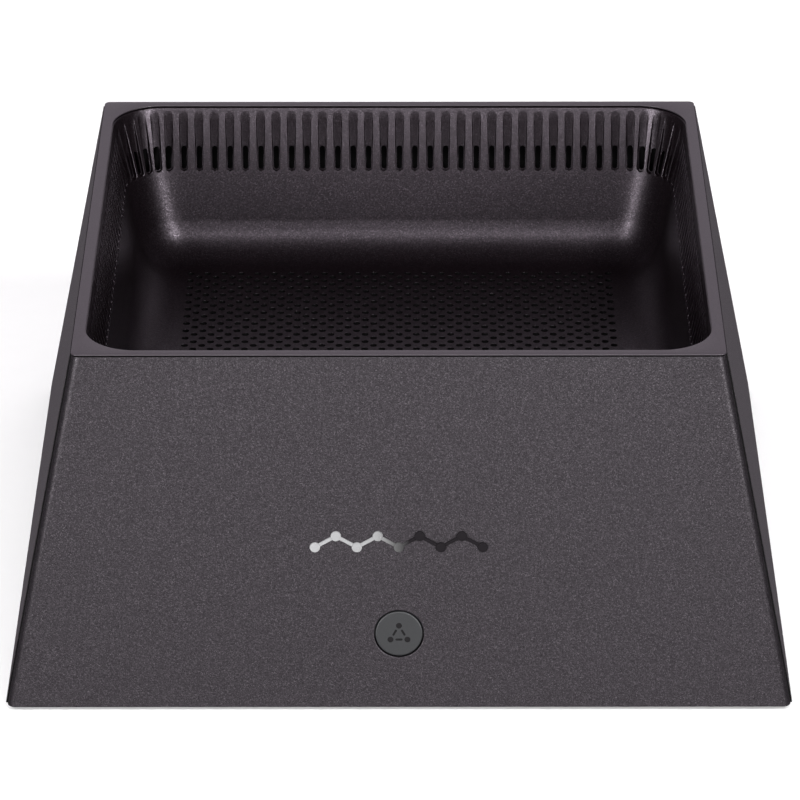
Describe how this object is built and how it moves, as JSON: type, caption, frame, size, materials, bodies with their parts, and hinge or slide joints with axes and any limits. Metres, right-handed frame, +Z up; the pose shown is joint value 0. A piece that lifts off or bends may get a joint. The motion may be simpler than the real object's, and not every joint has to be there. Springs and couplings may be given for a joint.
{
  "type": "mesh wifi node",
  "caption": "Truncated-pyramid mesh wifi node with a ventilated basin sunk in its top, a push button on its front and jacks on its rear.",
  "frame": {"origin": "middle of the body, on the surface that the feet stand on", "axes": "+Z up, +X across the front to the right, the front with the push button faces -Y"},
  "size_m": [0.19, 0.1808, 0.0892],
  "materials": {
    "panel_paint": "dark warm-grey paint with a fine metallic grain",
    "frame_paint": "smooth satin dark-grey paint",
    "tray_plastic": "dark warm-grey paint with a fine grain",
    "base_plastic": "textured black",
    "foot_rubber": "matt",
    "screw_steel": "zinc plated",
    "label_film": "blank silver-grey film",
    "badge_metal": "polished inlay, silver to black",
    "button_plastic": "smooth satin grey",
    "black_plastic": "satin",
    "led_lens": "clear, milky",
    "board_mask": "green solder mask",
    "shield_steel": "tin plated",
    "pad_silicone": "soft, matt",
    "heatsink_aluminium": "extruded, bead blasted",
    "jack_steel": "nickel plated",
    "lead_jacket": "smooth"
  },
  "bodies": {
    "housing": {"front_panel": "panel_paint", "rear_panel": "panel_paint", "left_panel": "panel_paint", "right_panel": "panel_paint", "top_frame": "frame_paint", "basin_tray": "tray_plastic", "base_plate": "base_plastic", "foot_front_left": "foot_rubber", "foot_front_right": "foot_rubber", "foot_rear_left": "foot_rubber", "foot_rear_right": "foot_rubber", "base_screw_front_left": "screw_steel", "base_screw_front_right": "screw_steel", "base_screw_rear_left": "screw_steel", "base_screw_rear_right": "screw_steel", "rating_label": "label_film", "front_badge": "badge_metal", "button_bracket": "black_plastic", "button_switch": "black_plastic", "status_led": "led_lens", "reset_switch": "black_plastic", "main_board": "board_mask", "board_screw_front_left": "screw_steel", "board_screw_front_right": "screw_steel", "board_screw_rear_left": "screw_steel", "board_screw_rear_right": "screw_steel", "radio_shield": "shield_steel", "thermal_pad": "pad_silicone", "heatsink": "heatsink_aluminium", "heatsink_screw_left": "screw_steel", "heatsink_screw_right": "screw_steel", "network_jack_1": "jack_steel", "network_jack_2": "jack_steel", "network_jack_3": "jack_steel", "power_jack": "black_plastic", "antenna_left_front": "board_mask", "antenna_left_rear": "board_mask", "antenna_right_front": "board_mask", "antenna_right_rear": "board_mask", "antenna_lead_left_front": "lead_jacket", "antenna_lead_left_rear": "lead_jacket", "antenna_lead_right_front": "lead_jacket", "antenna_lead_right_rear": "lead_jacket"},
    "mesh_button": {"mesh_button": "button_plastic", "switch_plunger": "button_plastic"},
    "reset_button": {"reset_button": "button_plastic"}
  },
  "joints": [
    {"name": "mesh_button_press", "type": "slide", "parent": "housing", "child": "mesh_button", "axis": [0, 0.9897, -0.1433], "range_m": [0, 0.0006], "stiffness_N_per_m": 1500},
    {"name": "reset_button_press", "type": "slide", "parent": "housing", "child": "reset_button", "axis": [0, -1, 0], "range_m": [0, 0.0004], "stiffness_N_per_m": 1500}
  ]
}
